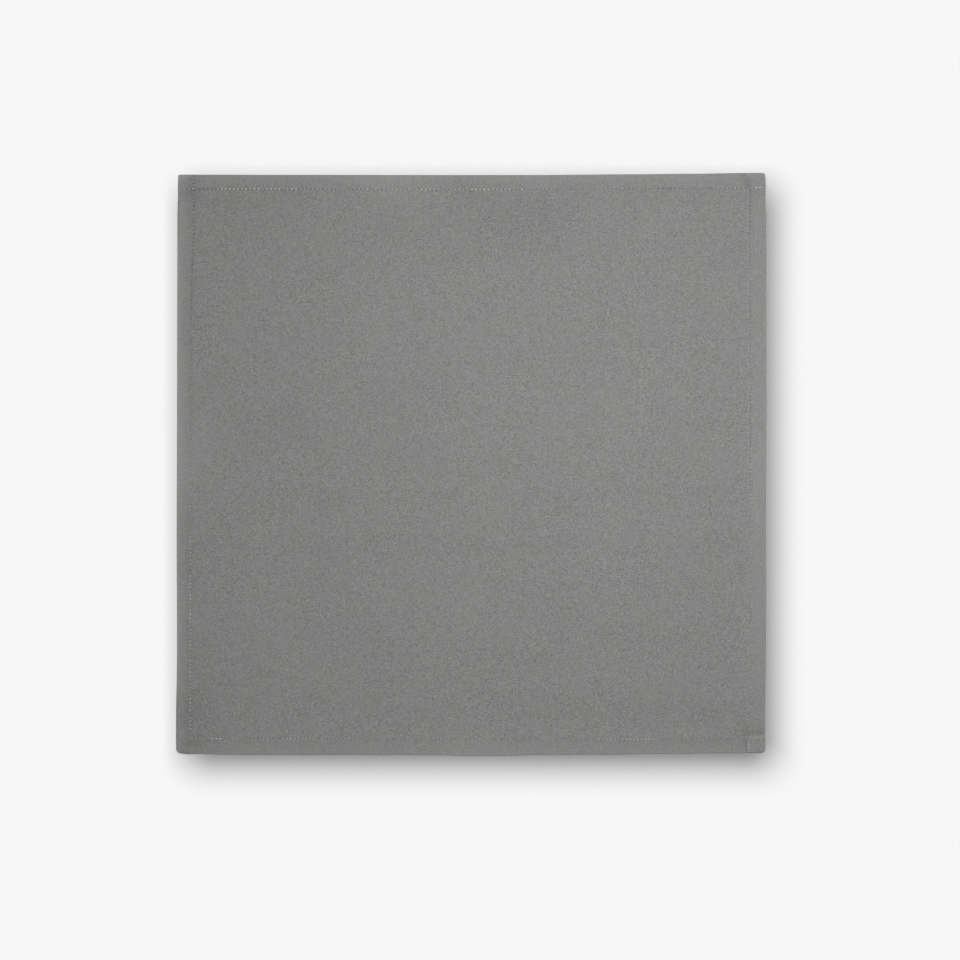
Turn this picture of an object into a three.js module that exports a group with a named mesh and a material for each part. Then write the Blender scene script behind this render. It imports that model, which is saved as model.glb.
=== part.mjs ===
// Cloth napkin, one rectangle of cotton with a double-turned, lockstitched hem on all four sides.
// It lies open and flat with its face side up. Sizes are in millimetres. +Z is up, +X runs along the
// bottom and top hems and +Y points to the top hem. The origin is under the middle of the cloth,
// on the surface it lies on.
import * as THREE from 'three';
import { mergeGeometries, mergeVertices } from 'three/addons/utils/BufferGeometryUtils.js';

const { lerp, smoothstep } = THREE.MathUtils;

// Finished size, between the four folded edges
const WIDTH = 450.6;
const LENGTH = 443.8;

// Heights: the lone cloth, what the two turned-in layers of a hem add, and how far the thread sinks
const CLOTH_HEIGHT = 1.0;
const HEM_RISE = 1.0;
const STITCH_DEPTH = 0.35;
const FOLD_LINE_DEPTH = 0.4;

// Places across a hem, as distances in from the straight edge
const EDGE_ROLL = 1.1;
const CORNER_GRID = 3.2;
const STITCH_NEAR = 10.3;
const STITCH_LINE = 11.5;
const INNER_FOLD = 12.9;
const HEM_FOOT = 16.0;
const SETTLED = 60.0;

// Grid pitch of the single layer inside the hems
const INNER_PITCH = 19.0;

// Radius of each corner, seen from above
const CORNER_RADIUS = { bottomLeft: 3.2, bottomRight: 3.0, topLeft: 1.2, topRight: 1.6 };

// The four sides. `at` is the distance along the side, from the left or from the bottom. `out` is how
// far the folded edge stands outside the straight rectangle there, and `inset` is how far inside it
// the row of stitching lies.
const BOTTOM = {
  edge: [
    { at: 0, out: -1.6 },
    { at: 12, out: -0.85 },
    { at: 50, out: -0.1 },
    { at: 165, out: -0.1 },
    { at: 205, out: 0.15 },
    { at: 222, out: 0.75 },
    { at: 243, out: 0.7 },
    { at: 278, out: 0.0 },
    { at: 324, out: -0.1 },
    { at: 370, out: -1.0 },
    { at: WIDTH, out: -1.3 },
  ],
  seam: [
    { at: 0, inset: 12.6 },
    { at: WIDTH, inset: 12.2 },
  ],
};
const TOP = {
  edge: [
    { at: 0, out: 0.1 },
    { at: 232, out: -0.15 },
    { at: 278, out: -0.1 },
    { at: 347, out: 0.45 },
    { at: 392, out: 0.8 },
    { at: 435, out: 1.4 },
    { at: WIDTH, out: 1.4 },
  ],
  seam: [
    { at: 0, inset: 10.7 },
    { at: 240, inset: 11.2 },
    { at: WIDTH, inset: 9.9 },
  ],
};
const LEFT = {
  edge: [
    { at: 0, out: 0.5 },
    { at: 23, out: 0.7 },
    { at: 80, out: 0.0 },
    { at: 103, out: 0.0 },
    { at: 149, out: 0.25 },
    { at: 310, out: -0.1 },
    { at: 413, out: -0.35 },
    { at: 432, out: -0.85 },
    { at: LENGTH, out: -1.05 },
  ],
  seam: [
    { at: 0, inset: 10.2 },
    { at: 310, inset: 10.4 },
    { at: LENGTH, inset: 13.0 },
  ],
};
const RIGHT = {
  edge: [
    { at: 0, out: -0.8 },
    { at: 31, out: -0.7 },
    { at: 80, out: -0.1 },
    { at: 126, out: 0.1 },
    { at: 165, out: -0.25 },
    { at: 264, out: 0.25 },
    { at: 394, out: 0.15 },
    { at: 429, out: -0.55 },
    { at: LENGTH, out: -0.9 },
  ],
  seam: [
    { at: 0, inset: 12.6 },
    { at: LENGTH, inset: 12.0 },
  ],
};

// Reads one column of a side's table, eased between its rows.
function readTable(rows, column, at) {
  const next = Math.max(1, rows.findIndex((row) => row.at >= at));
  const [low, high] = [rows[next - 1], rows[next]];
  return lerp(low[column], high[column], smoothstep(at, low.at, high.at));
}

// How far a point that lies `inset` in from a side moves inwards, to give that side its own line.
function inwardShift(side, at, inset) {
  const atEdge = -readTable(side.edge, 'out', at);
  const atSeam = readTable(side.seam, 'inset', at) - STITCH_LINE;
  if (inset < STITCH_LINE) {
    return lerp(atEdge, atSeam, inset / STITCH_LINE);
  }
  return atSeam * (1 - smoothstep(inset, STITCH_LINE, SETTLED));
}

// Draws a square corner of the grid in to a round one. Both insets are from the corner's own sides.
function roundCorner(insetX, insetY, radius) {
  const x = Math.max(0, radius - insetX);
  const y = Math.max(0, radius - insetY);
  const full = 2 * radius * radius;
  return {
    x: insetX + x * (1 - Math.sqrt(1 - (y * y) / full)),
    y: insetY + y * (1 - Math.sqrt(1 - (x * x) / full)),
  };
}

// The place of a grid point in plan, from its distances to the left and bottom sides.
function planPoint(fromLeft, fromBottom) {
  const isLeft = fromLeft < WIDTH / 2;
  const isBottom = fromBottom < LENGTH / 2;
  const corner = (isBottom ? 'bottom' : 'top') + (isLeft ? 'Left' : 'Right');
  const insetX = isLeft ? fromLeft : WIDTH - fromLeft;
  const insetY = isBottom ? fromBottom : LENGTH - fromBottom;
  const round = roundCorner(insetX, insetY, CORNER_RADIUS[corner]);
  const x = round.x + inwardShift(isLeft ? LEFT : RIGHT, fromBottom, insetX);
  const y = round.y + inwardShift(isBottom ? BOTTOM : TOP, fromLeft, insetY);
  return { x: isLeft ? x : WIDTH - x, y: isBottom ? y : LENGTH - y };
}

// 1 on a hem, easing to 0 where its turned-in layers end.
function hemBand(inset) {
  return 1 - smoothstep(inset, INNER_FOLD, HEM_FOOT);
}

// 1 on a line across the hem, falling to 0 on both sides of it.
function lineAt(inset, line, halfWidth) {
  return Math.max(0, 1 - Math.abs(inset - line) / halfWidth);
}

// The heights of the face and of the underside at a grid point. Both meet at the rolled edge.
function heights(insetX, insetY) {
  const seamHalfWidth = STITCH_LINE - STITCH_NEAR;
  const foldHalfWidth = INNER_FOLD - STITCH_LINE;
  const seams = lineAt(insetX, STITCH_LINE, seamHalfWidth) + lineAt(insetY, STITCH_LINE, seamHalfWidth);
  const layers = CLOTH_HEIGHT + HEM_RISE * (hemBand(insetX) + hemBand(insetY));
  const full = layers - STITCH_DEPTH * seams;
  const sideFold = lineAt(insetX, INNER_FOLD, foldHalfWidth) * (1 - hemBand(insetY));
  const endFold = lineAt(insetY, INNER_FOLD, foldHalfWidth);
  const toCrest = 1 - Math.min(1, Math.min(insetX, insetY) / EDGE_ROLL);
  const roll = Math.sqrt(1 - toCrest * toCrest);
  return {
    face: (full / 2) * (1 + roll),
    underside: (full / 2) * (1 - roll) + FOLD_LINE_DEPTH * roll * Math.max(sideFold, endFold),
  };
}

// Grid lines across the whole cloth: close together over both hems, even between them.
function gridLines(span) {
  const hem = [0, EDGE_ROLL / 4, EDGE_ROLL, CORNER_GRID, STITCH_NEAR, STITCH_LINE, INNER_FOLD, HEM_FOOT];
  const cells = Math.round((span - 2 * HEM_FOOT) / INNER_PITCH);
  const inner = Array.from({ length: cells - 1 }, (_, i) => lerp(HEM_FOOT, span - HEM_FOOT, (i + 1) / cells));
  return [...hem, ...inner, ...hem.map((inset) => span - inset).reverse()];
}

// Points the diagonal of each grid cell at the nearest corner of the cloth, so that the two triangles
// of a corner cell both reach in from the rolled edge.
function pointDiagonalsOut(plane, columnCount, rowCount) {
  const triangles = plane.index.array;
  const cellColumns = columnCount - 1;
  for (let cell = 0; cell < triangles.length / 6; cell += 1) {
    const isLeft = cell % cellColumns < cellColumns / 2;
    const isTop = Math.floor(cell / cellColumns) < (rowCount - 1) / 2;
    if (isLeft === isTop) {
      const [a, b, d, , c] = triangles.subarray(cell * 6, cell * 6 + 6);
      triangles.set([a, b, c, a, c, d], cell * 6);
    }
  }
}

// One side of the sheet, as a plane whose grid points are moved to their places.
function sheetSide(columns, rows, level) {
  const plane = new THREE.PlaneGeometry(WIDTH, LENGTH, columns.length - 1, rows.length - 1);
  const points = plane.attributes.position;
  for (let i = 0; i < points.count; i += 1) {
    const fromLeft = columns[i % columns.length];
    const fromBottom = rows[rows.length - 1 - Math.floor(i / columns.length)];
    const insetX = Math.min(fromLeft, WIDTH - fromLeft);
    const insetY = Math.min(fromBottom, LENGTH - fromBottom);
    const place = planPoint(fromLeft, fromBottom);
    points.setXYZ(i, place.x, place.y, heights(insetX, insetY)[level]);
  }
  pointDiagonalsOut(plane, columns.length, rows.length);
  if (level === 'underside') {
    plane.index.array.reverse();
  }
  plane.deleteAttribute('normal');
  plane.deleteAttribute('uv');
  return plane;
}

// The whole cloth: face and underside joined along the rolled edge, centred over the origin.
function napkinGeometry() {
  const columns = gridLines(WIDTH);
  const rows = gridLines(LENGTH);
  const sides = ['face', 'underside'].map((level) => sheetSide(columns, rows, level));
  const geometry = mergeVertices(mergeGeometries(sides));
  geometry.computeBoundingBox();
  const middle = geometry.boundingBox.getCenter(new THREE.Vector3());
  geometry.translate(-middle.x, -middle.y, 0);
  geometry.computeVertexNormals();
  return geometry;
}

const cotton = new THREE.MeshStandardMaterial({ color: 0x838382, roughness: 0.95, metalness: 0 });

const napkin = new THREE.Mesh(napkinGeometry(), cotton);
napkin.name = 'napkin';

const model = new THREE.Group();
model.add(napkin);

export default model;
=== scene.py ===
import math
from typing import NamedTuple

import bpy
import numpy as np
from bpy.props import FloatProperty, FloatVectorProperty, PointerProperty
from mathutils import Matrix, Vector


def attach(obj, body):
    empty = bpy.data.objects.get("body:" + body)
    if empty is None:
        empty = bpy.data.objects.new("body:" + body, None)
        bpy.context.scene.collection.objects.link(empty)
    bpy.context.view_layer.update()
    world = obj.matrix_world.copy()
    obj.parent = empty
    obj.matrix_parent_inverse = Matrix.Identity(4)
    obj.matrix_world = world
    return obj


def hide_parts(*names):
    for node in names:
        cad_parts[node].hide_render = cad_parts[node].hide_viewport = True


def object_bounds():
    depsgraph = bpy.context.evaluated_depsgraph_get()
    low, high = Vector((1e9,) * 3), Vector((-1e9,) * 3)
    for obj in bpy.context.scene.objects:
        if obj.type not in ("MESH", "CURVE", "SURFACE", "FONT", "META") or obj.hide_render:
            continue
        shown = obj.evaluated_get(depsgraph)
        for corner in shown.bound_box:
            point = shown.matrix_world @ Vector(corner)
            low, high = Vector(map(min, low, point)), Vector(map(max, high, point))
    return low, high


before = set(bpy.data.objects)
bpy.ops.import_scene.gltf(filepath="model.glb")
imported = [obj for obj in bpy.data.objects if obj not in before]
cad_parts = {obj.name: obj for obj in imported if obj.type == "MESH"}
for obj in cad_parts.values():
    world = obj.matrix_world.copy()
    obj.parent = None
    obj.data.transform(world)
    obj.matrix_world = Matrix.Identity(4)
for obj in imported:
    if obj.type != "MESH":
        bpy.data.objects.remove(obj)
CAD_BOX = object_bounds()

bl_info = {
    "name": "Hemmed Cloth Napkin",
    "version": (1, 0, 0),
    "blender": (4, 5, 0),
    "location": "3D View > Sidebar > Napkin",
    "description": "Cuts, hems and stitches a flat cotton napkin, and lights it on a pale floor",
    "category": "Object",
}

MM = 0.001

# The four sides of the napkin, in millimetres. at is the distance along a side, from the left or from
# the bottom. out is how far the folded edge stands outside the straight rectangle, and inset is how far
# inside it the stitching lies. light is how light the thread is painted there, painted light where the
# stitches catch the light, and hole how open the needle holes are, painted near black as shade, both
# from 0 to 1. puff is how full the hem lies, as a share of its height. The last entry is light and shade
# painted onto the hem where its folds catch or lose the light, as a share lighter: on the crest of its
# fold, by its edge and at its seam.
BOTTOM = {
    "edge": {
        "at": (0, 12, 50, 165, 205, 222, 243, 278, 324, 370, 451),
        "out": (-1.6, -0.85, -0.1, -0.1, 0.15, 0.75, 0.7, 0.0, -0.1, -1.0, -1.75),
    },
    "seam": {"at": (0, 451), "inset": (12.6, 12.2)},
    # light is painted light where the stitches catch the light; hole sets the painted shade of the needle
    # holes
    "thread": {
        "at": (0, 12, 13, 24, 32, 38, 60, 66, 160, 300, 360, 375, 451),
        "light": (0.3, 0.3, 0.3, 0.5, 0.9, 0.4, 0.35, 0.55, 0.3, 0.35, 0.5, 0.3, 0.25),
        "hole": (0.0, 0.0, 0.3, 0.3, 0.2, 0.15, 0.4, 0.5, 0.15, 0.15, 0.4, 0.15, 0.15),
    },
    "puff": 0.05,
    # painted light and shade on the hem, as shares lighter
    "painted_shading": {"crest": 0.16, "edge": 0.1, "seam": 0.0},
}
TOP = {
    "edge": {
        "at": (0, 232, 278, 347, 392, 435, 451),
        "out": (0.1, -0.15, -0.1, 0.45, 0.8, 1.4, 1.4),
    },
    "seam": {"at": (0, 240, 451), "inset": (10.7, 11.2, 9.9)},
    # light is painted light where the stitches catch the light; hole sets the painted shade of the needle
    # holes
    "thread": {
        "at": (
            0, 11, 13, 28, 32, 90, 100, 222, 236, 242,
            262, 268, 316, 350, 370, 405, 427, 436, 439, 451,
        ),
        "light": (
            0.6, 0.6, 0.25, 0.3, 1.0, 1.0, 0.6, 0.5, 1.0, 0.75,
            0.6, 0.3, 0.25, 0.3, 0.25, 0.3, 0.35, 0.25, 0.95, 0.95,
        ),
        "hole": (
            0.4, 0.5, 1.0, 0.9, 0.8, 0.75, 0.5, 0.4, 0.5, 0.9,
            0.8, 0.2, 0.15, 0.5, 0.6, 0.3, 0.6, 0.9, 0.2, 0.1,
        ),
    },
    "puff": 0.2,
    # painted light and shade on the hem, as shares lighter
    "painted_shading": {"crest": 0.0, "edge": 0.14, "seam": 0.0},
}
LEFT = {
    "edge": {
        "at": (0, 23, 80, 103, 149, 310, 413, 432, 444),
        "out": (0.5, 0.7, 0.0, 0.0, 0.25, -0.1, -0.35, -0.85, -1.05),
    },
    "seam": {"at": (0, 310, 444), "inset": (10.2, 10.4, 13.0)},
    # light is painted light where the stitches catch the light; hole sets the painted shade of the needle
    # holes
    "thread": {
        "at": (0, 16, 17, 27, 120, 150, 180, 330, 363, 386, 444),
        "light": (0.3, 0.3, 0.35, 0.6, 0.7, 0.6, 0.35, 0.2, 0.2, 0.25, 0.3),
        "hole": (0.0, 0.0, 0.4, 0.4, 0.4, 0.3, 0.1, 0.1, 0.5, 0.8, 0.85),
    },
    "puff": 0.3,
    # painted light and shade on the hem, as shares lighter
    "painted_shading": {"crest": 0.0, "edge": 0.2, "seam": -0.05},
}
RIGHT = {
    "edge": {
        "at": (0, 31, 80, 126, 165, 264, 394, 429, 444),
        "out": (-0.8, -0.7, -0.1, 0.1, -0.25, 0.25, 0.15, -0.55, -0.9),
    },
    "seam": {
        "at": (0, 8, 18, 222, 262, 284, 318, 444),
        "inset": (13.4, 13.3, 12.1, 12.05, 11.7, 11.7, 12.0, 12.0),
    },
    # light is painted light where the stitches catch the light; hole sets the painted shade of the needle
    # holes
    "thread": {
        "at": (0, 7, 8, 140, 175, 330, 355, 375, 382, 390, 396, 411, 432, 433, 444),
        "light": (1.0, 1.0, 0.3, 0.3, 0.26, 0.24, 0.22, 0.22, 0.22, 0.22, 0.22, 0.15, 0.1, 0.1, 0.1),
        "hole": (0.1, 0.1, 0.2, 0.2, 0.35, 0.35, 0.45, 0.3, 0.5, 0.5, 0.3, 0.9, 1.0, 0.0, 0.0),
    },
    "puff": 0.05,
    # painted light and shade on the hem, as shares lighter
    "painted_shading": {"crest": 0.24, "edge": 0.1, "seam": 0.06},
}

# The corners, in millimetres: the radius of each seen from above, and the width of the slope from its
# square down to the hems
CORNERS = {
    "bottom left": {"radius": 3.2, "fall": 6.0},
    "bottom right": {"radius": 3.0, "fall": 1.3},
    "top left": {"radius": 1.2, "fall": 5.0},
    "top right": {"radius": 1.6, "fall": 4.5},
}


class Crease(NamedTuple):
    """A ridge, a valley or, where its rise is 0, only a line of painted light or shade: places and sizes
    in millimetres.
    """

    start: tuple
    end: tuple
    half_width: float
    rise: float
    # how much lighter the cloth is painted: painted light, and painted shade below 0
    tone: float


class Patch(NamedTuple):
    """A soft patch of painted light, of painted shade where its tone is below 0: its middle and its half
    size in millimetres.
    """

    middle: tuple
    half: tuple
    # how much lighter the patch is painted; below 0 it is painted shade
    tone: float


# Creases left by storage and pressing, and after them lines of painted light and shade at the corners and
# the rims, where the corner squares' slopes and the rolled edges catch or lose the light. Places are on
# the straight pattern, from the left and the bottom, and tone is how much lighter the cloth is painted
# there: painted light on a ridge, painted shade in a valley.
CREASES_AND_PAINTED_LINES = (
    Crease((90, 160), (454, 158), 8.0, -0.18, -0.036),
    Crease((140, 148.5), (454, 147.5), 1.8, 0.07, 0.022),
    Crease((95, 199), (440, 198), 6.0, -0.1, -0.022),
    Crease((205, 207.5), (450, 207), 1.6, 0.06, 0.012),
    Crease((215, 131.5), (440, 132), 1.8, -0.06, -0.018),
    Crease((205, 86), (440, 87), 1.8, -0.06, -0.018),
    Crease((55, 45), (305, 45), 2.2, -0.05, -0.008),
    Crease((154, 20), (153, 108), 3.2, -0.1, -0.045),
    Crease((162, 40), (161, 130), 1.6, 0.06, 0.02),
    Crease((398, 250), (399, 372), 2.6, -0.1, -0.032),
    Crease((390, 250), (391, 360), 2.4, 0.05, 0.01),
    Crease((171, 240), (171, 425), 2.2, -0.05, -0.01),
    Crease((128, 235), (127, 400), 1.8, 0.06, 0.015),
    Crease((238, 181), (293, 239), 2.4, 0.1, 0.03),
    Crease((280, 185.5), (306, 190.5), 3.0, -0.09, -0.055),
    # Painted shade and painted highlights by the corner squares and along the rolled rims
    Crease((10.2, 426), (10.2, 449), 2.6, -0.1, -0.15),
    Crease((1, 425.5), (22, 425.5), 2.2, -0.05, -0.07),
    Crease((431, 450), (438.5, 431), 2.4, -0.15, -0.24),
    Crease((429, 16.8), (460, 16.8), 3.2, -0.15, -0.19),
    Crease((437.3, -4), (437.3, 18), 0.9, -0.1, -0.36),
    Crease((438.7, -3), (438.7, 14.5), 0.8, 0.0, 0.22),
    Crease((0.4, 382), (0.4, 440), 0.9, 0.0, -0.24),
    Crease((0.4, -4), (0.4, 54), 1.2, 0.0, -0.3),
    Crease((434, 0.3), (454, 0.3), 1.0, 0.0, 0.4),
    Crease((436.5, 12.7), (450, 12.7), 0.9, 0.0, 0.2),
)

# Patches of painted light and shade, paler or darker
PAINTED_PATCHES = (
    Patch((10, 238), (21, 47), 0.12),
    Patch((6, 158), (8, 30), -0.05),
    Patch((162, 431), (40, 15), 0.09),
    Patch((226, 438), (20, 8), -0.06),
    Patch((18, 24), (16, 24), -0.12),
    Patch((4, 28), (5, 22), -0.1),
    Patch((40, 421), (32, 6), -0.045),
    Patch((262, 407), (40, 23), -0.065),
    Patch((288, 400), (9, 17), -0.015),
    Patch((84, 250), (26, 16), -0.055),
    Patch((121, 196), (14, 9), -0.045),
    Patch((152, 163), (9, 8), -0.04),
    Patch((144, 350), (24, 42), 0.045),
    Patch((66, 168), (22, 17), 0.04),
    Patch((75, 114), (20, 22), 0.035),
    Patch((228, 111), (22, 20), 0.05),
    Patch((138, 92), (18, 12), -0.045),
    Patch((343, 94), (24, 9), -0.05),
    Patch((262, 73), (40, 9), -0.03),
    Patch((370, 34), (60, 9), -0.045),
    Patch((320, 152), (16, 12), 0.035),
    Patch((224, 5), (45, 9), 0.06),
    Patch((446, 214), (8, 46), 0.08),
    Patch((5, 214), (9, 16), 0.05),
    Patch((5, 294), (9, 18), 0.04),
    Patch((160, 439), (22, 9), 0.06),
    Patch((445, 22), (9, 14), -0.04),
    Patch((1, 295), (4, 135), 0.09),
    Patch((0.5, 90), (2.6, 75), 0.09),
    # A painted highlight and painted shade on the slope of the bottom right corner square
    Patch((448.4, 9.7), (1.2, 1.8), 0.25),
    Patch((449.9, 9.7), (0.8, 1.8), -0.25),
)

# Grid lines of a hem, closer together by the stitching and the folds: in millimetres in from the edge on
# its face, past it and on its back, the count round each fold, and shares of the tucked-in layer
FACE_LINES = (12.9, 12.5, 12.1, 11.8, 11.5, 11.2, 10.9, 10.3, 9.2, 7.5, 5.5, 3.5, 2.0, 1.2)
FALL_LINES = (13.35, 13.8, 14.25, 14.7, 16.0, 18.0, 20.5, 23.5, 27.0)
BACK_LINES = (1.9, 4.5, 7.5, 9.8, 10.8, 11.5, 12.0)
EDGE_FOLD_LINES = 6
INNER_FOLD_LINES = 4
TUCKED_LINES = (1.0, 0.6, 0.25)
FIELD_PITCH = 3.6 * MM

# How far a side's own unevenness reaches into the cloth, how far past a hem the slopes of the hem that
# crosses it turn gentle, how much thinner a corner is pressed, and the raw edge's gap to the edge fold
SETTLED = 60 * MM
FALL_SETTLES = 9 * MM
CORNER_PRESSED = 0.28
RAW_EDGE_GAP = 0.3 * MM

# Relief of the cloth: the groove under the thread, the uneven fullness of the hems, low waves, puckers
# beside the seams, cloth that the seams pull up, and how far a crease takes to fade out at its ends.
# pitch and seed are those of each one's noise, and after NOISE_KNOTS pitches a noise repeats.
GROOVE = {"depth": 0.18 * MM, "half_width": 0.6 * MM}
FULLNESS = {"uneven": 0.3, "pitch": 24 * MM}
WAVES = {"height": 0.1 * MM, "pitch": 75 * MM, "seed": 5, "from_edge": 30 * MM}
PUCKERS = {"height": 0.03 * MM, "pitch": 11 * MM, "seeds": (21, 22), "off": 4 * MM, "half_width": 7 * MM}
PULLED_UP = {"height": 0.22 * MM, "half_width": 0.9 * MM}
CREASE_FADE = 25 * MM
NOISE_KNOTS = 97

# Tone of the cloth: how gently the painted light and shade on the hems blend in, how flat the middle of a
# patch of painted light is, and how much pressing takes from the yarns' contrast on the hems and how
# uneven it is all over
PAINTED_SHADING_LINES = ("crest", "edge", "seam")
PAINTED_SHADING_FALL = 3 * MM
CREST_WIDTH = 1.1 * MM
PATCH_FLATNESS = 1.4
CONTRAST = {"pressed": 0.35, "uneven": 0.22, "pitch": 17 * MM, "seed": 31}

# How far each side bulges out, and the size of the straight pattern between the bulges
LEFT_BULGE, RIGHT_BULGE, BOTTOM_BULGE, TOP_BULGE = (
    max(side["edge"]["out"]) * MM for side in (LEFT, RIGHT, BOTTOM, TOP)
)
STRAIGHT_WIDTH = CAD_BOX[1].x - CAD_BOX[0].x - (LEFT_BULGE + RIGHT_BULGE)
STRAIGHT_LENGTH = CAD_BOX[1].y - CAD_BOX[0].y - (BOTTOM_BULGE + TOP_BULGE)


def length_setting(name, description, default):
    """A length that can be set, in metres."""
    return FloatProperty(name=name, description=description, default=default, precision=5, unit="LENGTH")


def colour_setting(name, description, default):
    """A colour that can be set."""
    return FloatVectorProperty(
        name=name, description=description, default=default, subtype="COLOR", min=0, max=1,
    )


class NapkinCloth(bpy.types.PropertyGroup):
    """Sizes and colour of the cloth and its hems."""

    width: length_setting("Width", "Finished width between the folded edges", STRAIGHT_WIDTH)
    length: length_setting("Length", "Finished length between the folded edges", STRAIGHT_LENGTH)
    layer: length_setting("Cloth thickness", "Thickness of one layer", 0.32 * MM)
    gap: length_setting("Gap", "Air between two layers of a hem", 0.03 * MM)
    hem: length_setting("Hem width", "From the folded edge to the hem's inner fold", 12.9 * MM)
    fall: length_setting("Fall", "Width of the slope from a hem down to the single layer", 14 * MM)
    seam: length_setting("Seam", "From the folded edge to the stitching", 11.5 * MM)
    warp_pitch: length_setting(
        "Warp pitch", "Distance between two yarns that run up the cloth", 0.46 * MM,
    )
    weft_pitch: length_setting(
        "Weft pitch", "Distance between two yarns that run across the cloth", 0.52 * MM,
    )
    dark_yarn: colour_setting("Dark yarn", "Colour of the darkest yarns", (0.128, 0.129, 0.127))
    light_yarn: colour_setting("Light yarn", "Colour of the lightest yarns", (0.322, 0.324, 0.318))
    # Near-black painted shade in the needle holes and under the stitches
    hole: colour_setting("Needle hole", "Colour in the needle holes", (0.012, 0.012, 0.012))


class NapkinThread(bpy.types.PropertyGroup):
    """Sizes and colour of the lockstitch."""

    pitch: length_setting(
        "Stitch length", "Distance between needle holes on three of the sides", 2.95 * MM,
    )
    top_pitch: length_setting(
        "Top stitch length", "Distance between needle holes on the top side", 3.2 * MM,
    )
    thickness: length_setting("Thread thickness", "Thickness of the sewing thread", 0.42 * MM)
    # One thread in two painted tones: dark is painted shade where a stitch sinks in, light is painted
    # light where it stands up
    dark: colour_setting("Dark thread", "Colour of the stitches that sink in", (0.15, 0.151, 0.148))
    light: colour_setting("Light thread", "Colour of the stitches that stand up", (0.86, 0.862, 0.85))


class NapkinStage(bpy.types.PropertyGroup):
    """Floor, light and camera."""

    floor_colour: colour_setting("Floor", "Colour of the floor", (0.82, 0.82, 0.82))
    backdrop: colour_setting("Backdrop", "Colour seen beyond the floor", (0.93, 0.93, 0.93))
    key_strength: FloatProperty(
        name="Key light", description="Strength of the light from the top left of the cloth",
        default=2.37,
    )
    fill_strength: FloatProperty(
        name="Fill light", description="Strength of the low light from the bottom right of the cloth",
        default=0.6,
    )
    softbox_power: FloatProperty(
        name="Softbox", description="Power of the softbox over the right half of the cloth",
        default=1.51, unit="POWER",
    )
    view_width: length_setting("View width", "Width of floor that the picture takes in", 734.4 * MM)


def ease(share):
    """0 to 1, slow at both ends."""
    share = np.clip(share, 0, 1)
    return share * share * (3 - 2 * share)


def read_table(table, column, at):
    """A side's table at distances along it in metres, eased between its rows, in the table's own unit."""
    places = np.array(table["at"], float) * MM
    values = np.array(table[column], float)
    row = np.clip(np.searchsorted(places, at) - 1, 0, len(places) - 2)
    share = (at - places[row]) / (places[row + 1] - places[row])
    return values[row] + (values[row + 1] - values[row]) * ease(share)


def soft_noise(x, y, pitch, seed):
    """Smooth unevenness from -1 to 1, with hills about one pitch apart."""
    knots = np.random.default_rng(seed).uniform(-1, 1, (NOISE_KNOTS, NOISE_KNOTS))
    column, row = np.floor(x / pitch).astype(int), np.floor(y / pitch).astype(int)
    along, up = ease(x / pitch - column), ease(y / pitch - row)
    column, row = column % NOISE_KNOTS, row % NOISE_KNOTS
    right, above = (column + 1) % NOISE_KNOTS, (row + 1) % NOISE_KNOTS
    low = knots[column, row] * (1 - along) + knots[right, row] * along
    high = knots[column, above] * (1 - along) + knots[right, above] * along
    return low * (1 - up) + high * up


def ridge(distance, half_width):
    """1 on a line, rounding off to 0 on both sides of it."""
    return np.exp(-((distance / half_width) ** 2))


def on_hem(inset, hem, fall):
    """1 where the cloth lies on its turned-in layers, easing to 0 past them."""
    return 1 - ease((inset - hem) / fall)


def by_corner(is_left, is_bottom, column):
    """One column of the corner table, in metres, for the corner that each point is nearest to."""
    return MM * np.select(
        [is_left & is_bottom, is_left, is_bottom],
        [CORNERS[corner][column] for corner in ("bottom left", "top left", "bottom right")],
        CORNERS["top right"][column],
    )


def fall_width(cloth, corner_fall, inset_across):
    """Width of the slope down from a hem: its corner's own where it crosses a side, wider further in."""
    return corner_fall + (cloth.fall - corner_fall) * ease((inset_across - cloth.hem) / FALL_SETTLES)


def stack_on(cloth, stack, inset, fall):
    """Height of the face side where a stack of cloth is hemmed, at a distance in from its edge."""
    return stack + 2 * (stack + cloth.gap) * on_hem(inset, cloth.hem, fall)


def inward_shift(cloth, side, at, inset):
    """How far a point moves in from a side, so that the edge and the seam get that side's own lines."""
    edge = -read_table(side["edge"], "out", at) * MM
    seam = read_table(side["seam"], "inset", at) * MM - cloth.seam
    outside = edge + (seam - edge) * np.clip(inset / cloth.seam, 0, 1)
    inside = seam * (1 - ease((inset - cloth.seam) / (SETTLED - cloth.seam)))
    return np.where(inset < cloth.seam, outside, inside)


def insets(cloth, x, y):
    """Distances in from the nearer side edge and from the nearer of the bottom and top edges."""
    return np.minimum(x, cloth.width - x), np.minimum(y, cloth.length - y)


def in_plan(cloth, x, y):
    """Where points of the straight pattern lie on the real napkin, centred on its solid."""
    is_left, is_bottom = x < cloth.width / 2, y < cloth.length / 2
    from_side, from_end = insets(cloth, x, y)
    radius = by_corner(is_left, is_bottom, "radius")
    near_x, near_y = np.maximum(0, radius - from_side), np.maximum(0, radius - from_end)
    rounded_x = from_side + near_x * (1 - np.sqrt(1 - near_y**2 / (2 * radius**2)))
    rounded_y = from_end + near_y * (1 - np.sqrt(1 - near_x**2 / (2 * radius**2)))
    left, right = (inward_shift(cloth, side, y, from_side) for side in (LEFT, RIGHT))
    bottom, top = (inward_shift(cloth, side, x, from_end) for side in (BOTTOM, TOP))
    moved_x = rounded_x + np.where(is_left, left, right)
    moved_y = rounded_y + np.where(is_bottom, bottom, top)
    middle_x = (cloth.width + RIGHT_BULGE - LEFT_BULGE) / 2
    middle_y = (cloth.length + TOP_BULGE - BOTTOM_BULGE) / 2
    return (
        np.where(is_left, moved_x, cloth.width - moved_x) - middle_x,
        np.where(is_bottom, moved_y, cloth.length - moved_y) - middle_y,
    )


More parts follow.
